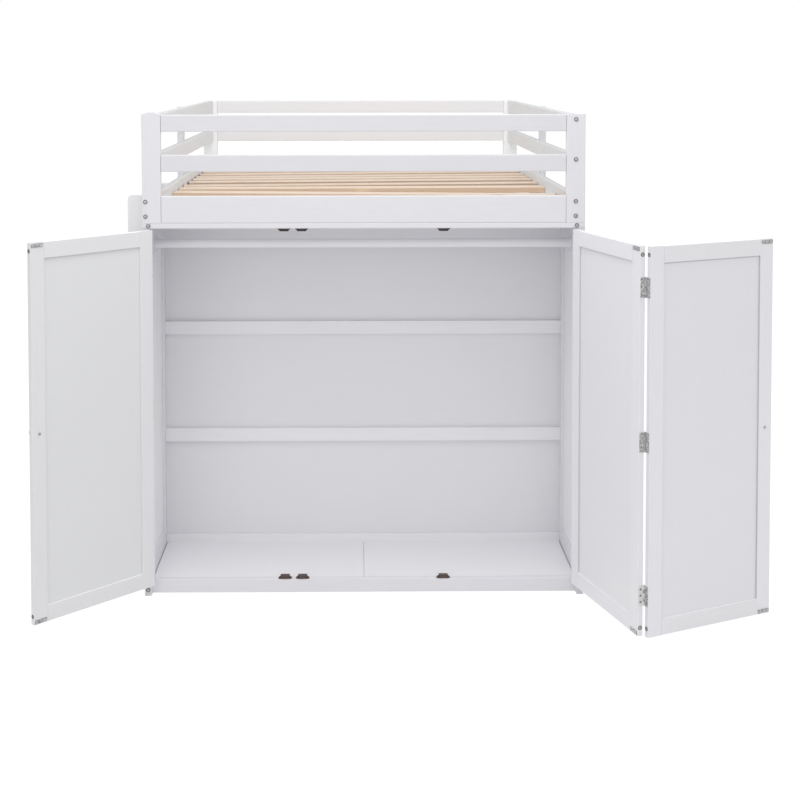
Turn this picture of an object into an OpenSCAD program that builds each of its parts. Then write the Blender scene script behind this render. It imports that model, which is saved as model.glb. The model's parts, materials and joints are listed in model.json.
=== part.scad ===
// Full-size loft bed with a shallow wardrobe under its front end.
// X runs across the bed, Y from the wardrobe doors to the far end, Z up.
// The origin is on the floor at the middle of the wardrobe's footprint.
// The doors are drawn standing open: one single door at the left,
// and a folding pair at the right.

/* [Bed] */
// Overall width across the posts
bed_w = 1448; // [1300:1:1700]
// Overall length from the front to the far end
bed_l = 1981; // [1800:1:2200]
// Thickness of the rails and boards
board_t = 22; // [18:1:28]
// Width of the front posts
post_w = 62; // [50:1:80]
// Width of the back legs
leg_w = 62; // [50:1:80]
// Depth of the back legs
leg_d = 42; // [32:1:60]
// Height of the guard rails
rail_h = 55; // [40:1:70]
// Gap between the guard rails
rail_gap = 76; // [60:1:85]
// Height of the boards round the mattress
side_board_h = 92; // [70:1:120]
// Height of the end boards
end_board_h = 88.5; // [66:0.5:116]
// Rise of the rounded top of the left front post
post_arch = 8; // [4:1:14]
// Width of the supports in the middle of the sides
support_w = 60; // [40:1:90]
// Rounding of the long wooden edges
edge_r = 2.5; // [1:0.5:4]
// Width of the groove round the ends of a rail
joint_gap = 1.2; // [0.5:0.1:2]
// Width of the same groove at the far end
far_joint_gap = 0.5; // [0.3:0.1:2]
// Depth of the groove round the ends of a rail
joint_depth = 5; // [3:0.5:7]

/* [Slats] */
// Number of slats
slat_n = 13; // [10:1:16]
// Width of a slat
slat_w = 82; // [60:1:95]
// Thickness of a slat
slat_t = 21; // [12:1:24]
// Distance from the first slat's middle to the front board
slat_first = 60; // [50:1:90]
// Depth of the slats' top below the board's top edge
slat_drop = 30; // [10:1:40]
// Gap at each end of a slat
slat_end_gap = 1.8; // [1:0.1:8]
// Height of the strips that carry the slats
ledger_h = 30; // [20:1:32]
// Width of the strips that carry the slats
ledger_w = 22; // [15:1:30]
// Width and height of the middle beam
beam_w = 40; // [25:1:40]

/* [Ladder] */
// Overall width of the ladder
ladder_w = 400; // [320:1:480]
// Distance of the ladder behind the front plane
ladder_set = 84; // [50:1:300]
// Depth of the ladder's sides
stringer_d = 60; // [45:1:90]
// Thickness of the ladder's sides
stringer_t = 22; // [18:1:30]
// Drop of the ladder's top below the tops of the side boards
ladder_drop = 8; // [0:1:40]
// Number of rungs
rung_n = 4; // [3:1:5]
// Depth of a rung
rung_d = 56; // [40:1:60]
// Thickness of a rung
rung_t = 22; // [18:1:30]
// Length of the blocks behind the ladder's sides
spacer_l = 84; // [60:1:120]

/* [Wardrobe] */
// Height of the wardrobe
wardrobe_h = 1234; // [1100:1:1400]
// Depth of the wardrobe
wardrobe_d = 411; // [350:1:500]
// Thickness of the wardrobe's top
top_t = 18; // [15:1:22]
// Width of the upright boards of the wardrobe's sides
stile_d = 50; // [40:1:70]
// Height of the cross rails of the wardrobe's sides
side_rail_h = 100; // [90:1:140]
// Thickness of the thin panels
panel_t = 5; // [3:0.5:8]
// Depth of the grooves that hold the thin panels
groove_d = 7; // [5:0.5:9]
// Clearance of a thin panel in its groove
panel_gap = 0.2; // [0.1:0.05:0.5]
// Height of the floor above the ground
floor_z = 48; // [42:1:80]
// Thickness of the floor
floor_t = 12; // [9:1:18]
// Gap between the floor and the sides
floor_gap = 3; // [1:0.5:5]
// Gap between the two floor panels
floor_seam = 1; // [0.5:0.5:3]
// Height of the base board above the ground
base_clear = 3; // [2:1:8]
// Thickness of the base board
base_t = 20; // [15:1:25]
// Setback of the base board behind the front plane
base_set = 19.5; // [19:0.5:30]
// Thickness of the strips under the floor
bearer_t = 20; // [15:1:25]
// Width of the middle runner under the floor
runner_w = 40; // [30:1:60]
// Height of the back battens
batten_h = 47; // [35:1:60]
// Thickness of the back battens
batten_t = 15; // [12:1:18]
// Distance between the back battens
batten_pitch = 383.5; // [340:0.5:400]
// Height of the lowest batten's top edge above the floor panels
batten_first = 27; // [15:1:40]
// Thickness of the back panel
back_t = 5; // [3:0.5:6]
// Depth of the back panel inside the wardrobe's back edges
back_set = 2; // [0.5:0.5:6]

/* [Hanging rod] */
// Diameter of the rod
rod_d = 30; // [20:1:34]
// Depth of the rod's middle below the wardrobe's top
rod_drop = 68; // [56:1:84]
// Distance of the rod behind the front plane
rod_set = 165; // [150:1:230]
// Length of a rod socket's cup
socket_l = 6; // [4:0.5:20]
// Wall of a rod socket
socket_wall = 2; // [1.5:0.5:4]
// Gap between the rod and its sockets
rod_gap = 0.3; // [0.1:0.05:0.6]

/* [Doors] */
// Thickness of the doors' frames
door_t = 16.5; // [15:0.5:17]
// Width of the doors' uprights
door_stile_w = 50; // [40:1:60]
// Height of the doors' cross rails
door_rail_h = 50.5; // [40:0.5:60]
// Gap between the doors and the wardrobe's top
door_top_gap = 3; // [2:0.5:6]
// Height of the doors above the ground
door_foot = 41; // [38:1:44]
// Depth of a door's panel behind its inner face
panel_set = 6; // [4:0.5:7]
// Gap between the single door and the folding pair
meet_gap = 4; // [3:0.5:6]
// Angle at which the left door stands open
left_open = 134; // [90:1:160]
// Angle at which the right door stands open
inner_open = 106.4; // [90:0.1:140]
// Angle at which the folding door stands folded
fold_open = 98.8; // [60:0.1:150]

/* [Hinges] */
// Gap that a hinge fills between two edges
hinge_gap = 3; // [3:0.1:4]
// Height of a hinge
hinge_h = 60; // [50:1:80]
// Length of a hinge leaf behind the pin
leaf_w = 18; // [15:0.5:19]
// Thickness of a hinge leaf
leaf_t = 1.2; // [1:0.1:1.4]
// Distance of the hinge pins in front of the doors' outer faces
pin_set = 3; // [3:0.1:4]
// Radius of a hinge knuckle
knuckle_r = 2.8; // [2.6:0.1:3]
// Radius of a hinge pin
pin_r = 1.5; // [1.2:0.1:1.6]
// Clearance of a hinge pin in its knuckles
pin_gap = 0.05; // [0.02:0.01:0.08]
// Number of knuckles on a hinge
knuckle_n = 5; // [3:2:7]
// Distance from a door's top to the upper hinge's middle
hinge_top = 123; // [90:1:200]
// Distance from a door's bottom to the lower hinge's middle
hinge_bottom = 123; // [90:1:200]

/* [Fittings] */
// Diameter of a bolt head
bolt_head_d = 14; // [12:0.5:17]
// Height of a bolt head
bolt_head_h = 3; // [2:0.5:4]
// Diameter of a bolt
bolt_d = 6; // [4:0.5:8]
// Length of a bolt under its head
bolt_l = 60; // [50:1:80]
// Gap round a bolt in the wood
bolt_gap = 0.2; // [0.1:0.05:0.5]
// Distance of the right post's bolts from the outer face
bolt_in_right = 31; // [28:1:36]
// Distance of the left post's bolts from the outer face
bolt_in_left = 11.5; // [9:0.5:14]
// Distance of the top strip's right bolt from the outer face
strip_bolt_right = 27; // [18:0.5:36]
// Distance of the top strip's left bolt from the outer face
strip_bolt_left = 20.5; // [18:0.5:36]
// Distance of a guard rail's bolt below the rail's top
guard_bolt_drop = 16; // [12:1:30]
// Spread of the two bolts in a side board
side_bolt_pitch = 48; // [30:1:60]
// Height of the bolt in the wardrobe's left foot
foot_bolt_z = 20; // [15:1:40]
// Height of the bolt in the wardrobe's right foot
foot_bolt_right_z = 27; // [15:1:40]
// Diameter of a door bolt's head
door_bolt_d = 13; // [8:0.5:13.5]
// Length of a door bolt
door_bolt_l = 75; // [60:1:90]
// Distance from a door's free edge to a catch's middle
catch_in = 27; // [25:1:40]
// Width of a catch's body
catch_w = 30; // [20:1:34]
// Width of a catch across its ears
catch_ear_w = 44; // [40:1:52]
// Height of a catch
catch_h = 11; // [9:0.5:16]
// Depth of a catch
catch_d = 18; // [15:1:30]
// Thickness of a catch's sloping ears at their ends
catch_ear_t = 2.5; // [2:0.5:4]
// Gap between a closed door's plate and its catch
catch_gap = 0.6; // [0.4:0.1:1]
// Distance from a door's free edge to a strike plate's middle
plate_in = 24; // [22:1:34]
// Length of a strike plate
plate_l = 42; // [30:1:44]
// Height of a strike plate
plate_h = 12; // [10:1:18]
// Thickness of a strike plate
plate_t = 1.2; // [0.8:0.1:1.5]
// Distance of a strike plate from a door's top or bottom edge
plate_edge = 3; // [1:0.5:6]
// Distance of a knob from a door's free edge
knob_in = 26; // [20:1:35]
// Diameter of a knob
knob_d = 28; // [20:1:35]
// Length of a knob
knob_l = 25; // [18:1:32]
// Diameter of a knob's foot
knob_foot_d = 14; // [10:1:18]
// Diameter of a knob's screw head
knob_screw_d = 9; // [6:0.5:10]

/* [Hidden] */

half_w = bed_w / 2;
front_y = -wardrobe_d / 2;
far_y = front_y + bed_l;
back_y = front_y + wardrobe_d;
in_x = half_w - board_t;
guard_x = in_x - board_t;
post_in_x = half_w - post_w;
leg_in_x = half_w - leg_w;
leg_y = far_y - leg_d;
end_y = far_y - board_t;
behind_post_y = front_y + board_t;

board_top = wardrobe_h + side_board_h;
second_z = board_top + rail_gap;
top_rail_z = second_z + rail_h + rail_gap;
bed_h = top_rail_z + rail_h;
rail_zs = [second_z, top_rail_z];
slat_z = board_top - slat_drop - slat_t;
slat_end_x = guard_x - slat_end_gap;
slat_pitch = (leg_y - behind_post_y - 2 * slat_first) / (slat_n - 1);
slat_free = slat_pitch - slat_w;
// The slats lie a little out of place, in shares of the free room between two of them:
// how far each one lies from its regular place, and how far its right end lies further back
slat_shift = [0, -0.1, 0.49, 1.97, 1.95, 2.31, 2.03, 1.62, 1.64, 1.23, 0.82, 0.41, 0];
slat_skew = [0, 0, -2.04, 0.72, 1.83, 1.76, 1.72, 1.96, 2.35, 1.7, 1.1, 0.5, 0];
side_mid_y = (behind_post_y + leg_y) / 2;

side_h = wardrobe_h - top_t;
rod_y = front_y + rod_set;
rod_z = side_h - rod_drop;
base_y = front_y + base_set;
batten_y = back_y - back_set - back_t - batten_t;
floor_x = in_x - floor_gap;
floor_y = base_y + base_t;
bearer_z = floor_z - floor_t - bearer_t;
groove_w = panel_t + 2 * panel_gap;

door_z = door_foot;
door_h = side_h - door_top_gap - door_foot;
door_w = (2 * in_x - 3 * hinge_gap - meet_gap) / 3;
pin_x = in_x - hinge_gap / 2;
pin_y = front_y - pin_set;
fold_x = hinge_gap + door_w;
hinge_zs = [
    door_z + hinge_bottom,
    door_z + (door_h + hinge_bottom - hinge_top) / 2,
    door_z + door_h - hinge_top
];
knuckle_h = hinge_h / knuckle_n;
knuckle_play = 0.15;
leaf_clear = 0.35;
leaf_x = hinge_gap / 2 - leaf_t;

catch_y = front_y + door_t + plate_t + catch_gap;
door_edge_xs = [
    -in_x + hinge_gap + door_w - catch_in,
    -in_x + hinge_gap + door_w + meet_gap + catch_in,
    in_x - hinge_gap - door_w + catch_in
];

white = [0.93, 0.93, 0.94];
inside_white = [0.88, 0.88, 0.89];
pine = [0.87, 0.74, 0.62];
steel = [0.66, 0.67, 0.69];
brown = [0.22, 0.13, 0.09];

// A bar's cross section with rounded corners, from its lower left corner
module section(w, h, r) {
    k = r * (1 - sqrt(0.5));
    polygon([
        [r, 0], [w - r, 0], [w - k, k], [w, r],
        [w, h - r], [w - k, h - k], [w - r, h], [r, h],
        [k, h - k], [0, h - r], [0, r], [k, k]
    ]);
}

// A board between two corners, with the edges rounded that run along one axis
module board(a, b, along = "x", r = edge_r) {
    s = b - a;
    translate(a) {
        if (along == "x")
            translate([s[0], 0, 0]) rotate([0, -90, 0]) linear_extrude(s[0]) section(s[2], s[1], r);
        if (along == "y")
            translate([0, s[1], 0]) rotate([90, 0, 0]) linear_extrude(s[1]) section(s[0], s[2], r);
        if (along == "z")
            linear_extrude(s[2]) section(s[0], s[1], r);
    }
}

// The same board at both sides of the bed, given for the right side
module both_sides() {
    children();
    mirror([1, 0, 0]) children();
}

// The hole for a bolt that enters along +Y at a point of the front plane
module bolt_hole(p, l = bolt_l) {
    translate(p - [0, 1, 0]) rotate([-90, 0, 0]) cylinder(h = l + 2, r = bolt_d / 2 + bolt_gap, $fn = 32);
}

// A bolt with a domed head and a hexagonal recess, entering along +Y
module bolt(p, l = bolt_l, head_d = bolt_head_d, head_h = bolt_head_h) {
    translate(p) rotate([90, 0, 0]) difference() {
        union() {
            cylinder(h = head_h * 0.5, r = head_d / 2, $fn = 32);
            translate([0, 0, head_h * 0.5]) cylinder(h = head_h * 0.5, r1 = head_d / 2, r2 = head_d * 0.3, $fn = 32);
            translate([0, 0, -l]) cylinder(h = l, r = bolt_d / 2, $fn = 32);
        }
        translate([0, 0, head_h * 0.3]) cylinder(h = head_h, r = bolt_d * 0.4, $fn = 6);
    }
}

// Bolt places in the front posts, in the strip and feet below, and in the back legs
side_bolt_zs = [for (s = [-1, 1]) wardrobe_h + side_board_h / 2 + s * side_bolt_pitch / 2];
guard_bolt_zs = [for (z = rail_zs) z + rail_h - guard_bolt_drop];
right_bolts = [for (z = concat(side_bolt_zs, guard_bolt_zs)) [half_w - bolt_in_right, front_y, z]];
left_bolts = [for (z = side_bolt_zs) [-half_w + bolt_in_left, front_y, z]];
strip_bolts = [for (x = [-half_w + strip_bolt_left, half_w - strip_bolt_right]) [x, front_y, side_h + top_t / 2]];
foot_bolts = [
    [-half_w + board_t / 2, front_y, foot_bolt_z],
    [half_w - board_t / 2, front_y, foot_bolt_right_z]
];
far_bolts = [for (s = [-1, 1], z = concat(side_bolt_zs, guard_bolt_zs)) [s * (half_w - bolt_in_right), -far_y, z]];

module left_front_post() {
    arch_r = (post_w * post_w / 4 + post_arch * post_arch) / (2 * post_arch);
    color(white) difference() {
        intersection() {
            board([-half_w, front_y, wardrobe_h], [-post_in_x, behind_post_y, bed_h + post_arch], "z");
            union() {
                translate([-half_w + post_w / 2, front_y - 1, bed_h + post_arch - arch_r])
                    rotate([-90, 0, 0]) cylinder(h = board_t + 2, r = arch_r, $fn = 180);
                translate([-half_w - 1, front_y - 1, wardrobe_h - 1])
                    cube([post_w + 2, board_t + 2, bed_h - wardrobe_h - arch_r]);
            }
        }
        for (p = left_bolts) bolt_hole(p);
    }
}

module right_front_post() {
    color(white) difference() {
        board([post_in_x, front_y, wardrobe_h], [half_w, behind_post_y, bed_h], "z");
        for (p = right_bolts) bolt_hole(p);
    }
}

module back_leg() {
    difference() {
        board([leg_in_x, leg_y, 0], [half_w, far_y, bed_h], "z");
        for (p = far_bolts) if (p[0] > 0) mirror([0, 1, 0]) bolt_hole(p, leg_d + 1);
    }
}

module left_back_leg() {
    color(white) mirror([1, 0, 0]) back_leg();
}

module right_back_leg() {
    color(white) back_leg();
}

// A rail between two posts, with a groove round each end
module end_bar(x, y, z, h, gap = joint_gap) {
    board([-x + gap, y, z], [x - gap, y + board_t, z + h], "x");
    translate([-x, y + joint_depth, z + joint_depth])
        cube([2 * x, board_t - 2 * joint_depth, h - 2 * joint_depth]);
}

module front_top_rail() {
    color(white) end_bar(post_in_x, front_y, top_rail_z, rail_h);
}

module front_second_rail() {
    color(white) end_bar(post_in_x, front_y, second_z, rail_h);
}

module front_end_board() {
    color(white) end_bar(post_in_x, front_y, wardrobe_h, end_board_h);
}

module back_top_rail() {
    color(white) end_bar(leg_in_x, end_y, top_rail_z, rail_h, far_joint_gap);
}

module back_second_rail() {
    color(white) end_bar(leg_in_x, end_y, second_z, rail_h, far_joint_gap);
}

module back_end_board() {
    color(white) end_bar(leg_in_x, end_y, wardrobe_h, end_board_h, far_joint_gap);
}

// A bar along the right side, with the bolt holes of its two ends
module side_bar(z, h) {
    difference() {
        board([guard_x, behind_post_y, z], [in_x, leg_y, z + h], "y");
        for (p = right_bolts) bolt_hole(p);
        for (p = far_bolts) if (p[0] > 0) mirror([0, 1, 0]) bolt_hole(p);
    }
}

module left_side_board() {
    color(white) difference() {
        board([-in_x, behind_post_y, wardrobe_h], [-guard_x, leg_y, board_top], "y");
        for (p = far_bolts) if (p[0] < 0) mirror([0, 1, 0]) bolt_hole(p);
    }
}

module right_side_board() {
    color(white) side_bar(wardrobe_h, side_board_h);
}

module left_guard_rails() {
    color(white) for (z = rail_zs) difference() {
        board([-in_x, behind_post_y, z], [-guard_x, leg_y, z + rail_h], "y");
        for (p = far_bolts) if (p[0] < 0) mirror([0, 1, 0]) bolt_hole(p);
    }
}

module right_guard_rails() {
    color(white) for (z = rail_zs) side_bar(z, rail_h);
}

module mid_supports() {
    color(white) both_sides()
        board([in_x, side_mid_y - support_w / 2, wardrobe_h], [half_w, side_mid_y + support_w / 2, bed_h], "z");
}

module slats() {
    color(pine) for (i = [0 : slat_n - 1]) {
        shift = i < len(slat_shift) ? slat_shift[i] * slat_free : 0;
        skew = i < len(slat_skew) ? slat_skew[i] * slat_free : 0;
        translate([0, behind_post_y + slat_first + i * slat_pitch + shift, slat_z])
            rotate([0, 0, atan(skew / (2 * slat_end_x))])
                board([-slat_end_x, -slat_w / 2, 0], [slat_end_x, slat_w / 2, slat_t], "x");
    }
}

module slat_ledgers() {
    color(white) both_sides()
        board([guard_x - ledger_w, behind_post_y, slat_z - ledger_h], [guard_x, leg_y, slat_z], "y");
}

module centre_beam() {
    color(white) board([-beam_w / 2, behind_post_y, slat_z - beam_w], [beam_w / 2, end_y, slat_z], "y");
}

stringer_ys = [front_y + ladder_set, front_y + ladder_set + ladder_w - stringer_t];

module ladder_stringers() {
    round_r = 14;
    top = board_top - ladder_drop;
    color(white) for (y = stringer_ys) intersection() {
        board([-half_w - stringer_d, y, 0], [-half_w, y + stringer_t, top], "z");
        translate([0, y - 1, 0]) rotate([90, 0, 0]) mirror([0, 0, 1]) linear_extrude(stringer_t + 2) difference() {
            translate([-half_w - stringer_d - 1, -1]) square([stringer_d + 2, top + 2]);
            difference() {
                translate([-half_w - stringer_d - 2, top - round_r]) square([round_r + 2, round_r + 2]);
                translate([-half_w - stringer_d + round_r, top - round_r]) circle(r = round_r, $fn = 64);
            }
        }
    }
}

module ladder_rungs() {
    pitch = board_top / (rung_n + 1);
    x = -half_w - (stringer_d - rung_d) / 2;
    color(white) for (i = [1 : rung_n])
        board([x - rung_d, stringer_ys[0] + stringer_t, i * pitch - rung_t / 2],
              [x, stringer_ys[1], i * pitch + rung_t / 2], "y", 4);
}

module ladder_spacers() {
    color(white) {
        difference() {
            board([-half_w, behind_post_y, wardrobe_h],
                  [-in_x, stringer_ys[0] + stringer_t, board_top], "y");
            for (p = left_bolts) bolt_hole(p);
        }
        board([-half_w, stringer_ys[1] + (stringer_t - spacer_l) / 2, wardrobe_h],
              [-in_x, stringer_ys[1] + (stringer_t + spacer_l) / 2, board_top], "y");
    }
}

panel_x = in_x + (board_t - panel_t) / 2;
panel_y0 = front_y + stile_d;
panel_y1 = back_y - stile_d;
panel_z0 = base_clear + side_rail_h;
panel_z1 = side_h - side_rail_h;

// The room that the right side's thin panel takes in the grooves round it
module side_groove() {
    translate([panel_x - panel_gap, panel_y0 - groove_d, panel_z0 - groove_d])
        cube([groove_w, panel_y1 - panel_y0 + 2 * groove_d, panel_z1 - panel_z0 + 2 * groove_d]);
}

module wardrobe_stiles() {
    color(white) difference() {
        both_sides() difference() {
            for (y = [front_y, panel_y1])
                board([in_x, y, 0], [half_w, y + stile_d, side_h], "z");
            side_groove();
        }
        for (p = foot_bolts) bolt_hole(p);
    }
}

module wardrobe_side_rails() {
    color(white) difference() {
        both_sides() difference() {
            for (z = [base_clear, panel_z1])
                board([in_x, panel_y0, z], [half_w, panel_y1, z + side_rail_h], "y");
            side_groove();
        }
        for (p = foot_bolts) bolt_hole(p);
    }
}

module wardrobe_side_panels() {
    fit = groove_d - panel_gap;
    color(inside_white) both_sides() translate([panel_x, panel_y0 - fit, panel_z0 - fit])
        cube([panel_t, panel_y1 - panel_y0 + 2 * fit, panel_z1 - panel_z0 + 2 * fit]);
}

module wardrobe_top_panel() {
    color(white) difference() {
        board([-half_w, behind_post_y, side_h], [half_w, back_y, wardrobe_h], "x", 1);
        for (p = strip_bolts) bolt_hole(p);
    }
}

module wardrobe_top_strip() {
    color(white) difference() {
        board([-half_w, front_y, side_h], [half_w, behind_post_y, wardrobe_h], "x");
        for (p = strip_bolts) bolt_hole(p);
    }
}

module wardrobe_base_board() {
    color(white) board([-in_x, base_y, base_clear], [in_x, floor_y, floor_z], "x");
}

module wardrobe_floor_panels() {
    color(inside_white) both_sides()
        translate([floor_seam / 2, floor_y, floor_z - floor_t])
            cube([floor_x - floor_seam / 2, batten_y - floor_y, floor_t]);
}

module floor_bearers() {
    color(white) for (y = [floor_y, batten_y - bearer_t])
        translate([-floor_x, y, bearer_z]) cube([2 * floor_x, bearer_t, bearer_t]);
}

module floor_runner() {
    color(white) translate([-runner_w / 2, floor_y + bearer_t, 0])
        cube([runner_w, batten_y - floor_y - 2 * bearer_t, floor_z - floor_t]);
}

batten_tops = concat([for (i = [0 : 2]) floor_z + batten_first + i * batten_pitch], [side_h]);

module back_battens() {
    color(white) for (z = batten_tops)
        board([-in_x, batten_y, z - batten_h], [in_x, batten_y + batten_t, z], "x", 1.5);
}

module back_panel() {
    color(inside_white) translate([-in_x, batten_y + batten_t, floor_z + batten_first - batten_h])
        cube([2 * in_x, back_t, side_h - floor_z - batten_first + batten_h]);
}

module hanging_rod() {
    color(inside_white) translate([-in_x + socket_wall, rod_y, rod_z]) rotate([0, 90, 0])
        cylinder(h = 2 * (in_x - socket_wall), d = rod_d, $fn = 64);
}

module rod_sockets() {
    cup_r = rod_d / 2 + rod_gap;
    color(steel) both_sides() translate([in_x, rod_y, rod_z]) rotate([0, -90, 0]) difference() {
        cylinder(h = socket_l, r = cup_r + socket_wall, $fn = 64);
        translate([0, 0, socket_wall]) cylinder(h = socket_l, r = cup_r, $fn = 64);
    }
}

// A magnetic catch standing on the floor, its front face at the origin
module catch() {
    hole_x = (catch_ear_w + catch_w) / 4;
    translate([-catch_w / 2, 0, 0]) cube([catch_w, catch_d, catch_h]);
    difference() {
        translate([0, catch_d * 0.7, 0]) rotate([90, 0, 0]) linear_extrude(catch_d * 0.6) polygon([
            [-catch_ear_w / 2, 0], [catch_ear_w / 2, 0], [catch_ear_w / 2, catch_ear_t],
            [catch_w / 2, catch_h * 0.75], [-catch_w / 2, catch_h * 0.75], [-catch_ear_w / 2, catch_ear_t]
        ]);
        for (s = [-1, 1]) translate([s * hole_x, catch_d * 0.4, catch_ear_t - 1])
            cylinder(h = catch_h, r = 2, $fn = 24);
    }
}

module magnetic_catches() {
    color(brown) for (x = door_edge_xs) {
        translate([x, catch_y, floor_z]) catch();
        translate([x, catch_y, side_h]) mirror([0, 0, 1]) catch();
    }
}

module frame_bolts() {
    color(steel) {
        for (p = concat(right_bolts, left_bolts, strip_bolts, foot_bolts)) bolt(p);
        for (p = far_bolts) mirror([0, 1, 0]) bolt(p);
    }
}

// A hinge leaf about its pin, lying at x > 0 with the pin on the Z axis.
// Its knuckles are every second one, counted from the bottom.
module leaf(first) {
    own = [for (i = [first : 2 : knuckle_n - 1]) -hinge_h / 2 + i * knuckle_h];
    difference() {
        union() {
            translate([leaf_x, knuckle_r + leaf_clear, -hinge_h / 2])
                cube([leaf_t, leaf_w - knuckle_r - leaf_clear, hinge_h]);
            for (z = own) translate([0, 0, z + knuckle_play]) {
                cylinder(h = knuckle_h - 2 * knuckle_play, r = knuckle_r, $fn = 32);
                translate([leaf_x, 0, 0]) cube([leaf_t, knuckle_r + 1, knuckle_h - 2 * knuckle_play]);
            }
        }
        translate([0, 0, -hinge_h]) cylinder(h = 2 * hinge_h, r = pin_r + pin_gap, $fn = 32);
        for (s = [-1, 0, 1])
            translate([leaf_x - 1, leaf_w * 0.62, s * hinge_h * 0.32])
                rotate([0, 90, 0]) cylinder(h = leaf_t + 2, r = 2.2, $fn = 24);
    }
}

// Three leaves of one hinge line, on the side towards +X of the pins
module leaves(first) {
    for (z = hinge_zs) translate([0, 0, z]) leaf(first);
}

module pins() {
    for (z = hinge_zs) translate([0, 0, z - hinge_h / 2]) {
        cylinder(h = hinge_h, r = pin_r, $fn = 32);
        for (p = [-1, hinge_h]) translate([0, 0, p]) cylinder(h = 1, r = knuckle_r, $fn = 32);
    }
}

module side_hinge_leaves() {
    color(steel) both_sides() translate([-pin_x, pin_y, 0]) mirror([1, 0, 0]) leaves(0);
}

module side_hinge_pins() {
    color(steel) both_sides() translate([-pin_x, pin_y, 0]) pins();
}

// Places of the three doors: each is drawn closed, with its pin on the Z axis
module at_left() {
    translate([-pin_x, pin_y, 0]) rotate([0, 0, -left_open]) children();
}

module at_inner() {
    translate([pin_x, pin_y, 0]) mirror([1, 0, 0]) rotate([0, 0, -inner_open]) children();
}

module at_outer() {
    at_inner() translate([fold_x, 0, 0]) rotate([0, 0, -fold_open]) children();
}

door_x0 = hinge_gap / 2;
door_x1 = door_x0 + door_w;
door_y0 = pin_set;
door_y1 = pin_set + door_t;
door_z1 = door_z + door_h;
hollow_y = door_y1 - panel_set - panel_t;

module door_groove() {
    translate([door_x0 + door_stile_w - groove_d, hollow_y - panel_gap, door_z + door_rail_h - groove_d])
        cube([door_w - 2 * (door_stile_w - groove_d), groove_w, door_h - 2 * (door_rail_h - groove_d)]);
}

// Places of the bolts that hold a door's rails, as [z] at both edges
door_bolt_zs = [door_z + door_rail_h / 2, door_z1 - door_rail_h / 2];
door_bolt_y = door_y0 + door_t / 2;
door_head_l = 3;

// The room of a door's bolts: flush heads in the edges, with the shanks inwards
module door_bolt_set(extra) {
    for (z = door_bolt_zs) {
        for (x = [door_x0, door_x1]) translate([x, door_bolt_y, z])
            rotate([0, x == door_x0 ? 90 : -90, 0]) {
                translate([0, 0, extra > 0 ? -1 : 0.2])
                    cylinder(h = door_head_l + (extra > 0 ? 1 : -0.2), r = door_bolt_d / 2 + extra, $fn = 32);
                cylinder(h = door_bolt_l + extra, r = bolt_d / 2 - 0.5 + extra, $fn = 32);
            }
    }
}

module door_stiles() {
    difference() {
        for (x = [door_x0, door_x1 - door_stile_w])
            board([x, door_y0, door_z], [x + door_stile_w, door_y1, door_z1], "z", 1.5);
        door_groove();
        door_bolt_set(bolt_gap);
    }
}

module door_rails() {
    difference() {
        for (z = [door_z, door_z1 - door_rail_h])
            board([door_x0 + door_stile_w, door_y0, z],
                  [door_x1 - door_stile_w, door_y1, z + door_rail_h], "x", 1.5);
        door_groove();
        door_bolt_set(bolt_gap);
    }
}

module door_panel() {
    fit = groove_d - panel_gap;
    translate([door_x0 + door_stile_w - fit, hollow_y, door_z + door_rail_h - fit])
        cube([door_w - 2 * (door_stile_w - fit), panel_t, door_h - 2 * (door_rail_h - fit)]);
}

module door_bolts() {
    difference() {
        door_bolt_set(0);
        for (z = door_bolt_zs, x = [door_x0, door_x1]) translate([x, door_bolt_y, z])
            rotate([0, 90, 0]) translate([0, 0, -1.6]) cylinder(h = 3.2, r = 2.2, $fn = 6);
    }
}

// Steel plates on the inner face that meet the catches, near the free edge
module door_plates() {
    x = door_x1 - plate_in;
    for (z = [door_z + plate_edge, door_z1 - plate_edge - plate_h])
        translate([x - plate_l / 2, door_y1, z]) difference() {
            cube([plate_l, plate_t, plate_h]);
            for (s = [0.12, 0.88]) translate([plate_l * s, -1, plate_h / 2])
                rotate([-90, 0, 0]) cylinder(h = plate_t + 2, r = 1.8, $fn = 24);
        }
}

// A turned knob on the outer face, and the screw that holds it from the inside
module door_knob() {
    x = door_x1 - knob_in;
    z = (door_z + door_z1) / 2;
    translate([x, door_y0, z]) rotate([90, 0, 0]) rotate_extrude($fn = 48) polygon([
        [0, 0], [knob_foot_d / 2, 0], [knob_foot_d / 2 - 2, 4], [knob_foot_d / 2 - 2, knob_l * 0.4],
        [knob_d / 2 - 2, knob_l * 0.6], [knob_d / 2, knob_l * 0.75],
        [knob_d / 2 - 2, knob_l * 0.92], [knob_d / 4, knob_l], [0, knob_l]
    ]);
    translate([x, door_y1, z]) rotate([-90, 0, 0]) cylinder(h = 1.5, r = knob_screw_d / 2, $fn = 32);
}

module left_door_stiles() {
    color(white) at_left() door_stiles();
}

module left_door_rails() {
    color(white) at_left() door_rails();
}

module left_door_panel() {
    color(inside_white) at_left() door_panel();
}

module left_door_knob() {
    color(steel) at_left() door_knob();
}

module left_door_plates() {
    color(steel) at_left() door_plates();
}

module left_door_leaves() {
    color(steel) at_left() leaves(1);
}

module left_door_bolts() {
    color(steel) at_left() door_bolts();
}

module inner_door_stiles() {
    color(white) at_inner() door_stiles();
}

module inner_door_rails() {
    color(white) at_inner() door_rails();
}

module inner_door_panel() {
    color(inside_white) at_inner() door_panel();
}

module inner_door_plates() {
    color(steel) at_inner() door_plates();
}

module inner_door_leaves() {
    color(steel) at_inner() {
        leaves(1);
        translate([fold_x, 0, 0]) mirror([1, 0, 0]) leaves(0);
    }
}

module inner_door_bolts() {
    color(steel) at_inner() door_bolts();
}

module fold_hinge_pins() {
    color(steel) at_inner() translate([fold_x, 0, 0]) pins();
}

module outer_door_stiles() {
    color(white) at_outer() door_stiles();
}

module outer_door_rails() {
    color(white) at_outer() door_rails();
}

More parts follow.
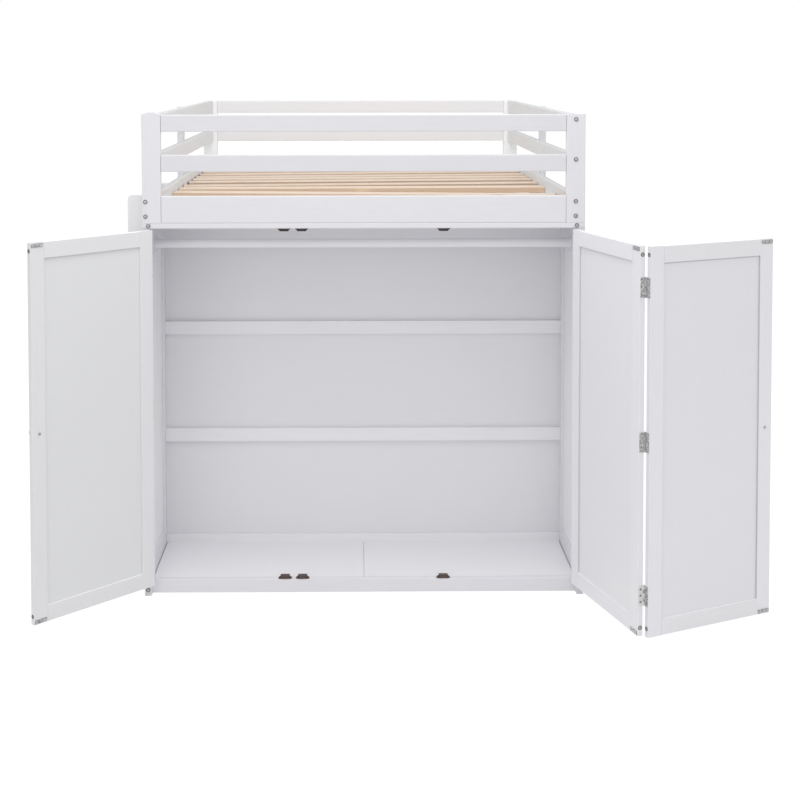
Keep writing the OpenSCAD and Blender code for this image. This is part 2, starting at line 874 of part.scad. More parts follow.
module outer_door_panel() {
    color(inside_white) at_outer() door_panel();
}

module outer_door_knob() {
    color(steel) at_outer() door_knob();
}

module outer_door_plates() {
    color(steel) at_outer() door_plates();
}

module outer_door_leaves() {
    color(steel) at_outer() leaves(1);
}

module outer_door_bolts() {
    color(steel) at_outer() door_bolts();
}

left_front_post();
right_front_post();
left_back_leg();
right_back_leg();
front_top_rail();
front_second_rail();
front_end_board();
back_top_rail();
back_second_rail();
back_end_board();
left_side_board();
right_side_board();
left_guard_rails();
right_guard_rails();
mid_supports();
slats();
slat_ledgers();
centre_beam();
ladder_stringers();
ladder_rungs();
ladder_spacers();
wardrobe_stiles();
wardrobe_side_rails();
wardrobe_side_panels();
wardrobe_top_panel();
wardrobe_top_strip();
wardrobe_base_board();
wardrobe_floor_panels();
floor_bearers();
floor_runner();
back_battens();
back_panel();
hanging_rod();
rod_sockets();
magnetic_catches();
frame_bolts();
side_hinge_leaves();
side_hinge_pins();
left_door_stiles();
left_door_rails();
left_door_panel();
left_door_knob();
left_door_plates();
left_door_leaves();
left_door_bolts();
inner_door_stiles();
inner_door_rails();
inner_door_panel();
inner_door_plates();
inner_door_leaves();
inner_door_bolts();
fold_hinge_pins();
outer_door_stiles();
outer_door_rails();
outer_door_panel();
outer_door_knob();
outer_door_plates();
outer_door_leaves();
outer_door_bolts();
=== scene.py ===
import json
import math
import bpy
import bmesh
from mathutils import Matrix, Vector


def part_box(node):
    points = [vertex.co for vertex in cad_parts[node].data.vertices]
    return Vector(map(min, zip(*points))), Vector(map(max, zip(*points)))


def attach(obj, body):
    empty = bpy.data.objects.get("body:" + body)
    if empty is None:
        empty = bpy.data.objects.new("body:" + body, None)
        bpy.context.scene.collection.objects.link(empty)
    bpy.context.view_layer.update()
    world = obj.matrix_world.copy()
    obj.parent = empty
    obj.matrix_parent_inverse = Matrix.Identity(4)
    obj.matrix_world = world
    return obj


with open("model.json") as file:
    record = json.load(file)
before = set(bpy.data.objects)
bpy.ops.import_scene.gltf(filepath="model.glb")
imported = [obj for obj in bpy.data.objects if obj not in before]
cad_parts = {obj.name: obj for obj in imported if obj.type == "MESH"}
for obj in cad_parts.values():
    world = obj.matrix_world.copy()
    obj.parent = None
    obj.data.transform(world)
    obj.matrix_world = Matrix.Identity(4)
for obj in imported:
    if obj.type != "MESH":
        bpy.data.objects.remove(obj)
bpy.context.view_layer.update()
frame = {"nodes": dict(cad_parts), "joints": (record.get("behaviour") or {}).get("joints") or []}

nodes = frame["nodes"]
print("frame loaded:", len(nodes), "nodes")


def makeCamera():  # solved from the straight edges in the photograph
    cam = {
        "place": (-0.0360, -4.8419, 1.7417),
        "yaw": 0.534, "pitch": 2.496, "roll": -0.061,  # degrees
        "focal": 1424.5, "centre": (366.0, 129.5), "image": 800,  # pixels of a square image
        "sensor": 36, "farthest": 60,  # mm and m
    }
    yaw, pitch, roll = (math.radians(cam[k]) for k in ("yaw", "pitch", "roll"))
    look = Vector((math.sin(yaw) * math.cos(pitch), math.cos(yaw) * math.cos(pitch), -math.sin(pitch)))
    right = Vector((math.cos(yaw), -math.sin(yaw), 0))
    up = right.cross(look)
    right, up = right * math.cos(roll) + up * math.sin(roll), up * math.cos(roll) - right * math.sin(roll)
    bpy.ops.object.camera_add(location=cam["place"])
    camera = bpy.context.object
    camera.name = "photoCamera"
    camera.rotation_euler = Matrix((right, up, -look)).transposed().to_euler()
    camera.data.sensor_width = cam["sensor"]
    camera.data.lens = cam["focal"] / cam["image"] * cam["sensor"]
    camera.data.shift_x = 0.5 - cam["centre"][0] / cam["image"]
    camera.data.shift_y = cam["centre"][1] / cam["image"] - 0.5
    camera.data.clip_end = cam["farthest"]
    bpy.context.scene.camera = camera


makeCamera()
print("camera placed")


class Wire:  # a node socket that can be used in plain sums
    def __init__(self, shader, socket):
        self.shader, self.socket = shader, socket

    def sum(self, operation, first, second=0.0):
        return self.shader.node("ShaderNodeMath", {"operation": operation}, {0: first, 1: second})

    def __add__(self, other):
        return self.sum("ADD", self, other)

    def __radd__(self, other):
        return self.sum("ADD", other, self)

    def __sub__(self, other):
        return self.sum("SUBTRACT", self, other)

    def __rsub__(self, other):
        return self.sum("SUBTRACT", other, self)

    def __mul__(self, other):
        return self.sum("MULTIPLY", self, other)

    def __lt__(self, other):
        return self.sum("LESS_THAN", self, other)

    def __gt__(self, other):
        return self.sum("GREATER_THAN", self, other)

    def __abs__(self):
        return self.sum("ABSOLUTE", self)


class Shader:  # the nodes of one material, or of the world
    def __init__(self, name, kind="Material"):
        owners = {"Material": bpy.data.materials, "World": bpy.data.worlds}
        self.owner = owners[kind].new(name)
        self.owner.use_nodes = True
        self.tree = self.owner.node_tree
        self.tree.nodes.clear()
        self.end = self.tree.nodes.new("ShaderNodeOutput" + kind)

    def node(self, kind, settings=None, inputs=None, out=0):
        n = self.tree.nodes.new(kind)
        for key, value in (settings or {}).items():
            if key == "stops":  # a colour ramp's stops: (position, grey or colour)
                ramp = n.color_ramp
                for i, (place, colour) in enumerate(value):
                    stop = ramp.elements[i] if i < 2 else ramp.elements.new(place)
                    stop.position = place
                    stop.color = (*colour, 1) if isinstance(colour, tuple) else (colour, colour, colour, 1)
            else:
                setattr(n, key, value)
        for key, value in (inputs or {}).items():
            if isinstance(value, Wire):
                self.tree.links.new(value.socket, n.inputs[key])
            elif isinstance(value, tuple) and len(value) == 3 and n.inputs[key].type == "RGBA":
                n.inputs[key].default_value = (*value, 1)
            else:
                n.inputs[key].default_value = value
        return Wire(self, n.outputs[out])

    def place(self, scale=(1, 1, 1)):
        spot = self.node("ShaderNodeTexCoord", out="Object")
        return self.node("ShaderNodeMapping", inputs={"Vector": spot, "Scale": scale})

    def noise(self, scale, detail, rough, twist=0.0, place=None):
        inputs = {"Scale": scale, "Detail": detail, "Roughness": rough, "Distortion": twist}
        inputs["Vector"] = place or self.place()
        return self.node("ShaderNodeTexNoise", inputs=inputs, out="Fac")

    def ramp(self, value, *stops):
        return self.node("ShaderNodeValToRGB", {"stops": stops}, {"Fac": value})

    def mix(self, amount, a, b):
        return self.node("ShaderNodeMix", {"data_type": "RGBA"}, {0: amount, 6: a, 7: b}, 2)

    def vector(self, operation, a, b=(0, 0, 0), out="Value"):
        return self.node("ShaderNodeVectorMath", {"operation": operation}, {0: a, 1: b}, out)

    def looks(self, axis):  # how far a face looks along an axis, from -1 to 1
        return self.vector("DOT_PRODUCT", self.node("ShaderNodeTexCoord", out="Normal"), axis)

    def reach(self, axis):  # how far a point lies along an axis
        return self.vector("DOT_PRODUCT", self.node("ShaderNodeTexCoord", out="Object"), axis)

    def spot(self, axis):  # one object coordinate
        place = self.node("ShaderNodeTexCoord", out="Object")
        return self.node("ShaderNodeSeparateXYZ", inputs={"Vector": place}, out=axis)

    def bump(self, height, strength, depth):
        inputs = {"Height": height, "Strength": strength, "Distance": depth}
        return self.node("ShaderNodeBump", inputs=inputs, out="Normal")

    def close(self, surface):  # joins a surface to the output
        self.tree.links.new(surface.socket, self.end.inputs["Surface"])
        return self.owner

    def finish(self, **sockets):
        inputs = {key.replace("_", " "): value for key, value in sockets.items()}
        return self.close(self.node("ShaderNodeBsdfPrincipled", inputs=inputs))

    def split(self, rays, share, seen, other):  # one surface for two kinds of ray, another for the rest
        first, second = (self.node("ShaderNodeLightPath", out=kind) for kind in rays)
        either = self.node("ShaderNodeMath", {"operation": "MAXIMUM"}, {0: first, 1: second})
        return self.close(self.node("ShaderNodeMixShader", inputs={0: either * share, 1: other, 2: seen}))


facing = 0.9  # a face looks along a direction if its normal's dot product with it is over this


def times(colour, share):  # a share of a colour
    return tuple(c * share for c in colour)


def paintedWood(name, colour, along, rough=0.45, grain=1.0, ledge=None, paintedShade=()):  # satin paint over wood, with painted light on the tops and painted shade on chosen faces
    wood = {
        "fibre": (210, 4, 0.6, 0.4), "pore": (620, 2, 0.5),  # noises: scale, detail, roughness, twist
        "cloud": (2.3, 3, 0.55), "spray": (900, 1, 0.5),
        "stretch": {"x": (0.05, 1, 1), "y": (1, 0.05, 1), "z": (1, 1, 0.05)},
        "fibreShade": 0.022, "cloudShade": 0.975, "fibreGloss": 0.10, "cloudGloss": 0.14,
        "specular": 0.4, "relief": 0.10, "depth": 0.0005,
    }
    s = Shader(name)
    stretched = s.place(wood["stretch"][along])
    fibre, pore = (s.noise(*wood[key], place=stretched) for key in ("fibre", "pore"))
    cloud, spray = (s.noise(*wood[key]) for key in ("cloud", "spray"))
    shaded = times(colour, 1 - wood["fibreShade"] * grain)
    tone = s.mix(s.ramp(fibre, (0.40, 1.0), (0.60, 0.0)), colour, shaded)
    tone = s.mix(s.ramp(cloud, (0.35, 0.0), (0.75, 0.5)), tone, times(colour, wood["cloudShade"]))
    if ledge:  # painted light on the faces that look up: a painted highlight on the door rails' tops, painted shade on the guard rails' tops
        tone = s.mix(s.looks((0, 0, 1)) > facing, tone, ledge)
    for look, line, start, share in paintedShade:  # painted shade on chosen faces of the doors, made by the function shadow
        tone = s.mix((s.looks(look) > facing) * (s.reach(line) > start), tone, times(colour, share))
    height = fibre * 0.5 + pore * 0.3 + spray * 0.2
    gloss = rough + (cloud - 0.5) * wood["cloudGloss"] + (fibre - 0.5) * wood["fibreGloss"]
    relief = s.bump(height, wood["relief"] * grain, wood["depth"])
    return s.finish(Base_Color=tone, Roughness=gloss, Normal=relief, Specular_IOR_Level=wood["specular"])


def barePine(name):  # planed softwood with rings, streaks and a few knots, and painted shade on the slats' sides
    look = {
        "pale": (0.722, 0.606, 0.504), "warm": (0.68, 0.543, 0.421), "ring": (0.63, 0.46, 0.32),
        "streak": (0.57, 0.40, 0.27), "knot": (0.30, 0.18, 0.11),
        # the painted shade on the slats' sides, and the painted light on the lit slats' sides
        "edge": (0.43, 0.315, 0.235), "litEdge": (0.74, 0.54, 0.38), "litSlats": (2, 3),
        "gaps": [(-0.052, 0), (0.114, -0.051), (0.334, -0.033), (0.533, 0.064), (0.695, 0.09),
                 (0.847, 0.087), (0.974, 0.092), (1.11, 0.108), (1.247, 0.101), (1.369, 0.07),
                 (1.491, 0.04), (1.613, 0.013)],  # lines between the slats: y and slope
        "rings": (3.4, 5, 0.55, 0.9), "streaks": (160, 4, 0.6, 0.2),  # noises, as in paintedWood
        "knots": 1.35, "rough": 0.58, "relief": 0.3, "depth": 0.0008,
        "ringGrain": (0.55, 9, 9), "streakGrain": (0.03, 1, 1), "knotGrain": (1.7, 8, 8),
    }
    s = Shader(name)
    x, y = s.spot("X"), s.spot("Y")
    board = y * 0.0
    for middle, slope in look["gaps"]:  # counts the gaps passed, so that each slat has its own number
        board = board + (y > x * slope + middle)
    tint = s.node("ShaderNodeTexWhiteNoise", {"noise_dimensions": "1D"}, {"W": board}, out="Value")
    shifted = s.node("ShaderNodeCombineXYZ", inputs={"X": tint * 7.0, "Y": 0.0, "Z": tint * 3.0})
    flow = s.vector("ADD", s.place(look["ringGrain"]), shifted, "Vector")
    rings = s.noise(*look["rings"], place=flow)
    streak = s.noise(*look["streaks"], place=s.place(look["streakGrain"]))
    dots = s.vector("ADD", s.place(look["knotGrain"]), shifted, "Vector")
    knot = s.node("ShaderNodeTexVoronoi", inputs={"Vector": dots, "Scale": look["knots"]}, out="Distance")
    pale, warm, ring = look["pale"], look["warm"], look["ring"]
    tone = s.ramp(rings, (0.25, warm), (0.42, pale), (0.60, ring), (0.72, warm))
    tone = s.mix(s.ramp(streak, (0.40, 0.5), (0.62, 0.0)), tone, look["streak"])
    tone = s.mix(0.30 + tint * 0.45, tone, pale)
    tone = s.mix(s.ramp(knot, (0.03, 0.9), (0.10, 0.0)), tone, look["knot"])
    first, last = look["litSlats"]  # painted light on these slats' sides, where wide gaps before them let light onto their edges
    lit = (board > first - 0.5) * (board < last + 0.5)
    edge = s.mix(lit, look["edge"], look["litEdge"])
    edge = s.mix(s.ramp(streak, (0.40, 0.75), (0.62, 1.0)) * 0.9, look["streak"], edge)
    # painted shade on the slats' sides, painted light on the sides of the lit slats
    tone = s.mix((1 - abs(s.looks((0, 0, 1)))) * 0.9, tone, edge)
    gloss = look["rough"] + (rings - 0.5) * 0.12
    relief = s.bump(streak * 0.6 + rings * 0.4, look["relief"], look["depth"])
    return s.finish(Base_Color=tone, Roughness=gloss, Normal=relief)


metallic = 0.25  # of every steel


def platedSteel(name, colour, rough, rubbed, mottle, below=None):  # zinc plate, darker where dull
    look = {
        "rub": (4, 0.65, 0.3), "brush": (1400, 2, 0.6), "brushGrain": (1, 1, 0.15),
        "low": 0.85, "relief": 0.2, "depth": 0.0003,
    }
    s = Shader(name)
    rub = s.noise(mottle, *look["rub"])
    fine = s.noise(*look["brush"], place=s.place(look["brushGrain"]))
    tone = s.mix(s.ramp(rub, (0.42, 0.0), (0.60, 1.0)), colour, times(colour, rubbed))
    if below:  # a height and the colour of the fittings under it
        tone = s.mix((s.spot("Z") < below[0]) * look["low"], tone, below[1])
    gloss = rough + (rub - 0.5) * 0.3
    relief = s.bump(fine, look["relief"], look["depth"])
    return s.finish(Base_Color=tone, Metallic=metallic, Roughness=gloss, Normal=relief)


def boltSteel(name, axis, bright, flush=None):  # dark heads with a painted highlight on the flat face that looks along the axis and painted shade around it
    look = {
        "rimShade": (0.15, 0.15, 0.155), "worn": (0.16, 0.16, 0.16), "rub": (220, 3, 0.6),
        "rim": (0.28, 0.40),  # where the painted shade on a flush head's rim begins and is full, in cm from its middle
        "rough": 0.42, "relief": 0.1, "depth": 0.0002,
    }
    s = Shader(name)
    rub = s.noise(*look["rub"])
    highlight = s.ramp(abs(s.looks(axis)), (0.90, 0.0), (0.97, 1.0))
    if flush:  # heads let into a door's edge at two heights: painted shade on the flat face's rim too
        across, middle, low, high = flush
        z = s.spot("Z")
        up = s.node("ShaderNodeMath", {"operation": "MINIMUM"}, {0: abs(z - low), 1: abs(z - high)})
        off = s.node("ShaderNodeCombineXYZ", inputs={"X": up, "Y": s.reach(across) - middle})
        highlight = highlight * s.ramp(s.vector("LENGTH", off) * 100, (look["rim"][0], 1.0), (look["rim"][1], 0.0))
    tone = s.mix(highlight, look["rimShade"], (bright, bright, bright))
    tone = s.mix(s.ramp(rub, (0.42, 0.5), (0.54, 0.0)), tone, look["worn"])
    gloss = look["rough"] + (rub - 0.5) * 0.3
    relief = s.bump(rub, look["relief"], look["depth"])
    return s.finish(Base_Color=tone, Metallic=metallic, Roughness=gloss, Normal=relief)


def darkPlastic(name):  # brown moulded plastic, blacker in the upper catches
    look = {
        "deep": (0.050, 0.026, 0.022), "pale": (0.082, 0.046, 0.038), "black": (0.012, 0.006, 0.006),
        "grain": (1100, 3, 0.6), "cloud": (60, 3, 0.5), "rough": 0.45, "relief": 0.2, "depth": 0.0003,
        "upper": 0.6,  # the height over which the catches are blacker
    }
    s = Shader(name)
    grain = s.noise(*look["grain"])
    tone = s.mix(s.noise(*look["cloud"]), look["deep"], look["pale"])
    tone = s.mix((s.spot("Z") > look["upper"]) * 0.6, tone, look["black"])
    gloss = look["rough"] + (grain - 0.5) * 0.2
    relief = s.bump(grain, look["relief"], look["depth"])
    return s.finish(Base_Color=tone, Roughness=gloss, Normal=relief)


def heading(angle):  # the unit vector at an angle in degrees
    return (math.cos(math.radians(angle)), math.sin(math.radians(angle)), 0.0)


doors = {
    "angles": {  # where each door runs from its pin when shut, and how far it's turned at rest, in degrees
        "left_door": (0, -134), "inner_door": (180, 106.4), "outer_door": (180, 205.2),
    },
    "edgeMiddle": 0.01125, "boltHeights": (0.06625, 1.18775),  # of the bolts in a door's edges
    "arris": 0.0045, "hingeEdge": 0.05,  # how far from the pin the painted shade on the edges at the fold begins
    "panelShadowFrom": 1.1585,  # painted shadow on the panels from here up, under the rail
}
pins = {joint["child"]: Vector((*joint["pos_m"][:2], 0)) for joint in frame["joints"]}
plan = {"frame": ((0, 1, 0), (1, 0, 0))}  # name: along the door from its pin, and out of its inner face
for body, (shut, turn) in doors["angles"].items():
    plan[body] = (heading(shut + turn), heading(90 + turn))


def shadow(look, line, start, share):  # a painted shadow on the faces that look one way, past a place along a line
    return (tuple(look), tuple(line), start, share)


def besidePanel(body, sign, past, share):  # painted shade on a stile's narrow face at one side of a door's panel
    along = Vector(plan[body][0]) * sign
    return shadow(-along, along, along.dot(pins[body]) + past, share)


def hingeEdge(share):  # painted shade on the outer door's edge beside the fold
    back = -Vector(plan["outer_door"][0])
    return shadow(back, back, back.dot(pins["outer_door"]) - doors["hingeEdge"], share)


def foldArris(share):  # painted shade on the far side of the inner door's edge beside the fold
    along, inward = plan["inner_door"]
    outward = -Vector(inward)
    return shadow(along, outward, outward.dot(pins["inner_door"]) - doors["arris"], share)


def underRail(body, share):  # painted shadow on the top of a door's panel, under the rail
    return shadow(plan[body][1], (0, 0, 1), doors["panelShadowFrom"], share)


white = {  # the same white paint, a little whiter or duller from piece to piece: painted light and painted shade for how each piece is lit
    "plain": (0.81, 0.801, 0.836), "rail": (0.77, 0.762, 0.795), "far": (0.832, 0.842, 0.868),
    "farPost": (0.955, 0.975, 0.99), "guard": (0.80, 0.82, 0.845), "shadedTop": (0.63, 0.64, 0.655),
    "door": (0.895, 0.887, 0.915), "outer": (0.91, 0.90, 0.942), "left": (0.82, 0.818, 0.835),
    "panel": (0.87, 0.865, 0.888), "outerPanel": (0.872, 0.862, 0.905), "leftPanel": (0.795, 0.798, 0.806),
    "ledge": (0.97, 0.965, 0.985), "inside": (0.885, 0.88, 0.905), "back": (0.825, 0.82, 0.845),
    "bright": (0.95, 0.945, 0.96),
}
panel = {"rough": 0.40, "grain": 0.4}
sheet = {"rough": 0.42, "grain": 0.3}
zinc = {"colour": (0.66, 0.66, 0.67), "rough": 0.42, "rubbed": 0.30, "mottle": 260}
freshZinc = {"colour": (0.84, 0.84, 0.84), "rough": 0.4, "rubbed": 0.25, "mottle": 320}
lowest = 0.4  # the hinges under this height differ from the others

paint = {
    "x": paintedWood("paintAcross", white["plain"], "x"),
    "y": paintedWood("paintAlong", white["plain"], "y"),
    "z": paintedWood("paintUpright", white["plain"], "z"),
    "rail": paintedWood("paintRail", white["rail"], "x"),
    "farRail": paintedWood("paintFarRail", white["far"], "x"),
    "farPost": paintedWood("paintFarPost", white["farPost"], "z"),
    "ladder": paintedWood("paintLadder", white["bright"], "z"),
    "batten": paintedWood("paintBatten", white["inside"], "x"),
    "doorRail": paintedWood("paintDoorRail", white["door"], "x", ledge=white["ledge"]),
    "innerRail": paintedWood("paintInnerRail", white["door"], "x", ledge=white["door"]),
    "innerStile": paintedWood("paintInnerStile", white["door"], "z", paintedShade=[
        besidePanel("inner_door", sign=-1, past=-0.1, share=0.72), foldArris(share=0.84)]),
    "outerStile": paintedWood("paintOuterStile", white["outer"], "z", paintedShade=[
        besidePanel("outer_door", sign=1, past=0.3, share=0.62), hingeEdge(share=0.88)]),
    "innerPanel": paintedWood("paintInnerPanel", white["panel"], "z", **panel, paintedShade=[
        underRail("inner_door", share=0.85)]),
    "outerPanel": paintedWood("paintOuterPanel", white["outerPanel"], "z", **panel, paintedShade=[
        underRail("outer_door", share=0.70)]),
    "leftRail": paintedWood("paintLeftRail", white["left"], "x", ledge=white["ledge"]),
    "leftStile": paintedWood("paintLeftStile", white["left"], "z"),
    "leftPanel": paintedWood("paintLeftPanel", white["leftPanel"], "z", **panel, paintedShade=[
        underRail("left_door", share=0.88)]),
    "guard": paintedWood("paintGuard", white["guard"], "y", ledge=white["shadedTop"]),
    "side": paintedWood("paintSide", white["bright"], "z", **panel),
    "back": paintedWood("paintBack", white["back"], "x", **sheet),
    "floor": paintedWood("paintFloor", white["inside"], "x", **sheet),
    "rod": paintedWood("paintRod", white["inside"], "x", **sheet),
    "pine": barePine("barePine"),
    "steel": platedSteel("zincSteel", **zinc),
    "freshSteel": platedSteel("freshSteel", **zinc, below=(lowest, (0.80, 0.80, 0.775))),
    "plate": platedSteel("plateSteel", (0.56, 0.56, 0.57), rough=0.34, rubbed=0.4, mottle=160),
    "plastic": darkPlastic("catchPlastic"),
    "screwMixed": platedSteel("screwMixed", **freshZinc, below=(lowest, (0.12, 0.12, 0.12))),
    "screwLight": platedSteel("screwLight", **freshZinc),
    "magnet": platedSteel("magnetStrip", (0.17, 0.125, 0.115), rough=0.5, rubbed=0.6, mottle=150),
}
# how bright the painted highlight on each body's bolt heads is
boltHighlight = {"frame": 0.74, "left_door": 0.35, "inner_door": 0.82, "outer_door": 0.6}
for body, (along, inward) in plan.items():
    flush = None
    if body in pins:
        middle = Vector(inward).dot(pins[body]) + doors["edgeMiddle"]
        flush = (inward, middle, *doors["boltHeights"])
    paint["bolt:" + body] = boltSteel("boltSteel." + body, along, boltHighlight[body], flush)

finishOf = {
    "x": ["front_end_board", "wardrobe_top_strip", "wardrobe_base_board", "wardrobe_top_panel",
          "floor_bearers"],
    "rail": ["front_top_rail", "front_second_rail"],
    "farRail": ["back_top_rail", "back_second_rail", "back_end_board"],
    "farPost": ["left_back_leg", "right_back_leg"],
    "guard": ["left_side_board", "right_side_board", "left_guard_rails", "right_guard_rails"],
    "y": ["slat_ledgers", "centre_beam", "ladder_rungs", "ladder_spacers", "wardrobe_side_rails",
          "floor_runner"],
    "z": ["left_front_post", "right_front_post", "wardrobe_stiles", "mid_supports"],
    "ladder": ["ladder_stringers"],
    "batten": ["back_battens"],
    "leftRail": ["left_door_rails"],
    "leftStile": ["left_door_stiles"],
    "leftPanel": ["left_door_panel"],
    "doorRail": ["outer_door_rails"],
    "innerRail": ["inner_door_rails"],
    "innerStile": ["inner_door_stiles"],
    "outerStile": ["outer_door_stiles"],
    "innerPanel": ["inner_door_panel"],
    "outerPanel": ["outer_door_panel"],
    "side": ["wardrobe_side_panels"],
    "back": ["back_panel"],
    "floor": ["wardrobe_floor_panels"],
    "rod": ["hanging_rod", "rod_sockets"],
    "pine": ["slats"],
    "plastic": ["magnetic_catches"],
    "freshSteel": ["inner_door_leaves"],
    "bolt:frame": ["frame_bolts"],
    "bolt:left_door": ["left_door_bolts"],
    "bolt:inner_door": ["inner_door_bolts"],
    "bolt:outer_door": ["outer_door_bolts"],
    "plate": ["left_door_plates", "inner_door_plates", "outer_door_plates", "left_door_knob",
              "outer_door_knob"],
}

named = {node: key for key, members in finishOf.items() for node in members}
for name, obj in nodes.items():
    obj.data.materials.clear()
    obj.data.materials.append(paint[named.get(name, "steel")])
print("finishes given to", len(nodes), "nodes")


screw = {
    "headR": 0.0033, "headH": 0.0002, "shankR": 0.0018, "shankL": 0.006, "slotR": 0.0015, "sides": 14,
    "slotDeep": 0.8,  # a share of the head's height
}


def selectLooking(piece, z):  # in edit mode, selects the faces that look along +Z or -Z
    mesh = bmesh.from_edit_mesh(piece.data)
    for face in mesh.faces:
        face.select_set(face.normal.z * z > facing)
    bmesh.update_edit_mesh(piece.data)


def makeScrew(name):  # a flat head that looks along +Z and lies on the XY plane, its shank below
    bpy.ops.object.select_all(action="DESELECT")
    tall = screw["headH"]
    bpy.ops.mesh.primitive_cylinder_add(vertices=screw["sides"], radius=screw["headR"], depth=tall,
                                        location=(0, 0, tall / 2))
    piece = bpy.context.object
    piece.name = name
    bpy.ops.object.transform_apply(location=True)
    bpy.ops.object.mode_set(mode="EDIT")
    bpy.ops.mesh.select_mode(type="FACE")
    shank, slot = (-1, screw["shankR"], screw["shankL"]), (1, screw["slotR"], tall * screw["slotDeep"])
    for side, inner, deep in (shank, slot):
        selectLooking(piece, side)
        bpy.ops.mesh.inset(thickness=screw["headR"] - inner, depth=0)
        bpy.ops.mesh.extrude_region_move(TRANSFORM_OT_translate={"value": (0, 0, -deep)})
    bpy.ops.object.mode_set(mode="OBJECT")
    return piece


magnet = {"wide": 0.020, "deep": 0.0012, "high": 0.0042, "soft": 0.0003, "proud": 0.00025, "rim": 0.22}


def makeMagnet(name):  # the steel strip in a catch's face: it looks along +Z and stands a little proud
    bpy.ops.object.select_all(action="DESELECT")
    bpy.ops.mesh.primitive_cube_add(size=1, location=(0, 0, magnet["proud"] - magnet["deep"] / 2),
                                    scale=(magnet["wide"], magnet["high"], magnet["deep"]))
    piece = bpy.context.object
    piece.name = name
    bpy.ops.object.transform_apply(location=True, scale=True)
    bpy.ops.object.mode_set(mode="EDIT")
    bpy.ops.mesh.select_all(action="SELECT")
    bpy.ops.mesh.bevel(offset=magnet["soft"], segments=1)
    selectLooking(piece, 1)
    bpy.ops.mesh.inset(thickness=magnet["high"] * magnet["rim"], depth=-magnet["soft"])
    bpy.ops.object.mode_set(mode="OBJECT")
    return piece


def seat(place, look):  # the matrix that carries a fitting to its place, looking along a level direction
    side = Vector(look).cross((0, 0, 1))
    matrix = Matrix((side, Vector(look).cross(side), Vector(look))).transposed().to_4x4()
    matrix.translation = place
    return matrix


smoothUnder = math.radians(35)


def spread(original, name, seats, finish, body):  # copies a fitting to its seats as one piece
    copies = []
    for matrix in seats:
        copy = original.copy()
        copy.data = original.data.copy()
        copy.data.transform(matrix)
        bpy.context.collection.objects.link(copy)
        copies.append(copy)
    bpy.ops.object.select_all(action="DESELECT")
    for copy in copies:
        copy.select_set(True)
    bpy.context.view_layer.objects.active = copies[0]
    bpy.ops.object.join()
    piece = bpy.context.object
    piece.name = name
    piece.data.materials.append(finish)
    bpy.ops.object.shade_smooth_by_angle(angle=smoothUnder)
    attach(piece, body)


fitting = {
    "hinges": (0.164, 0.627, 1.09), "screwStep": 0.0192, "leafFace": 0.0003, "leafIn": 0.01116,
    "plates": (0.050, 1.204), "plateX": 0.441167, "plateStep": 0.01596, "plateFace": 0.0207,
    "catches": (-0.262333, -0.204333, 0.262333), "catchFace": -0.1872, "magnetUp": 0.0052,
}


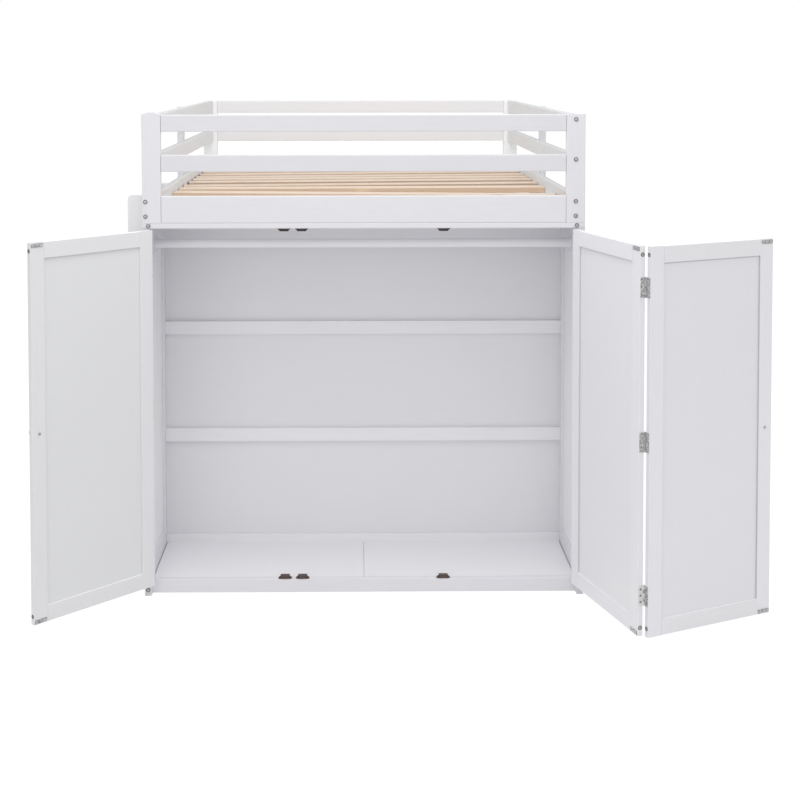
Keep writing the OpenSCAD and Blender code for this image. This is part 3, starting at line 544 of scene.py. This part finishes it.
def makeFittings():
    foldX = (pins["outer_door"] - pins["inner_door"]).length
    oneScrew, oneMagnet = makeScrew("screwPattern"), makeMagnet("magnetPattern")
    heights = [z + k * fitting["screwStep"] for z in fitting["hinges"] for k in (-1, 0, 1)]
    up = Vector((0, 0, 1))

    seats = []
    for pin, look in ((pins["left_door"], Vector((1, 0, 0))), (pins["inner_door"], Vector((-1, 0, 0)))):
        face = pin - look * fitting["leafFace"] + Vector((0, fitting["leafIn"], 0))
        seats += [seat(face + up * z, look) for z in heights]
    spread(oneScrew, "hingeScrews.frame", seats, paint["screwLight"], "frame")

    for body, pin in pins.items():
        along, inward = (Vector(v) for v in plan[body])
        edges = [(fitting["leafFace"], -along)]
        if body == "inner_door":
            edges.append((foldX - fitting["leafFace"], along))
        seats = []
        for x, look in edges:
            face = pin + along * x + inward * fitting["leafIn"]
            seats += [seat(face + up * z, look) for z in heights]
        finish = paint["screwLight" if body == "left_door" else "screwMixed"]
        spread(oneScrew, "hingeScrews." + body, seats, finish, body)

        plate = pin + along * fitting["plateX"] + inward * fitting["plateFace"]
        step = along * fitting["plateStep"]
        seats = [seat(plate + step * k + up * z, inward) for z in fitting["plates"] for k in (-1, 1)]
        spread(oneScrew, "plateScrews." + body, seats, paint["screwLight"], body)

    low, high = (corner.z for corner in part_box("magnetic_catches"))
    rows = (low + fitting["magnetUp"], high - fitting["magnetUp"])
    seats = [seat((x, fitting["catchFace"], z), (0, -1, 0)) for x in fitting["catches"] for z in rows]
    spread(oneMagnet, "catchMagnets", seats, paint["magnet"], "frame")
    for pattern in (oneScrew, oneMagnet):
        bpy.data.objects.remove(pattern)


makeFittings()
print("hinge screws, plate screws and magnets seated")


studio = {
    "floor": 60, "grey": (0.86, 0.86, 0.86), "glow": 1.12, "glowShare": 0.85,
    "sky": 0.69, "seenSky": 1.0, "white": (1, 1, 1),
}


def makeStage():
    bpy.ops.object.select_all(action="DESELECT")
    bpy.ops.mesh.primitive_plane_add(size=studio["floor"], location=(0, 0, 0))
    floor = bpy.context.object
    floor.name = "studioFloor"
    s = Shader("floorWhite")
    grey = s.node("ShaderNodeBsdfDiffuse", inputs={"Color": studio["grey"]})
    glow = s.node("ShaderNodeEmission", inputs={"Color": studio["white"], "Strength": studio["glow"]})
    rays = ("Is Camera Ray", "Is Glossy Ray")
    floor.data.materials.append(s.split(rays, studio["glowShare"], seen=glow, other=grey))

    s = Shader("studioWorld", "World")
    skies = ({"Color": studio["white"], "Strength": studio[key]} for key in ("sky", "seenSky"))
    soft, bright = (s.node("ShaderNodeBackground", inputs=inputs) for inputs in skies)
    rays = ("Is Camera Ray", "Is Transmission Ray")
    bpy.context.scene.world = s.split(rays, 1.0, seen=bright, other=soft)


def makeLights():
    lamps = {  # name: place, aim, size, watts
        "keyHigh": ((0, -3.4, 5.0), (0, -0.2, 0.4), 3.0, 34),
        "sideLeft": ((-2.6, -4.6, 1.6), (0, 0, 0.6), 2.4, 14),
        "sideRight": ((2.6, -4.6, 1.6), (0, 0, 0.6), 2.4, 4),
        "topSoft": ((0, 0.6, 4.6), (0, 0.5, 0), 3.6, 34),
        "overBed": ((0, -0.7, 3.6), (0, 1.7, 1.4), 1.6, 25),
    }
    for name, (place, aim, size, watts) in lamps.items():
        bpy.ops.object.light_add(type="AREA", location=place)
        lamp = bpy.context.object
        lamp.name = name
        lamp.data.size = size
        lamp.data.energy = watts
        lamp.rotation_euler = (Vector(aim) - Vector(place)).to_track_quat("-Z", "Y").to_euler()


makeStage()
makeLights()
bpy.context.scene.view_settings.view_transform = "Standard"
print("stage and lights ready")
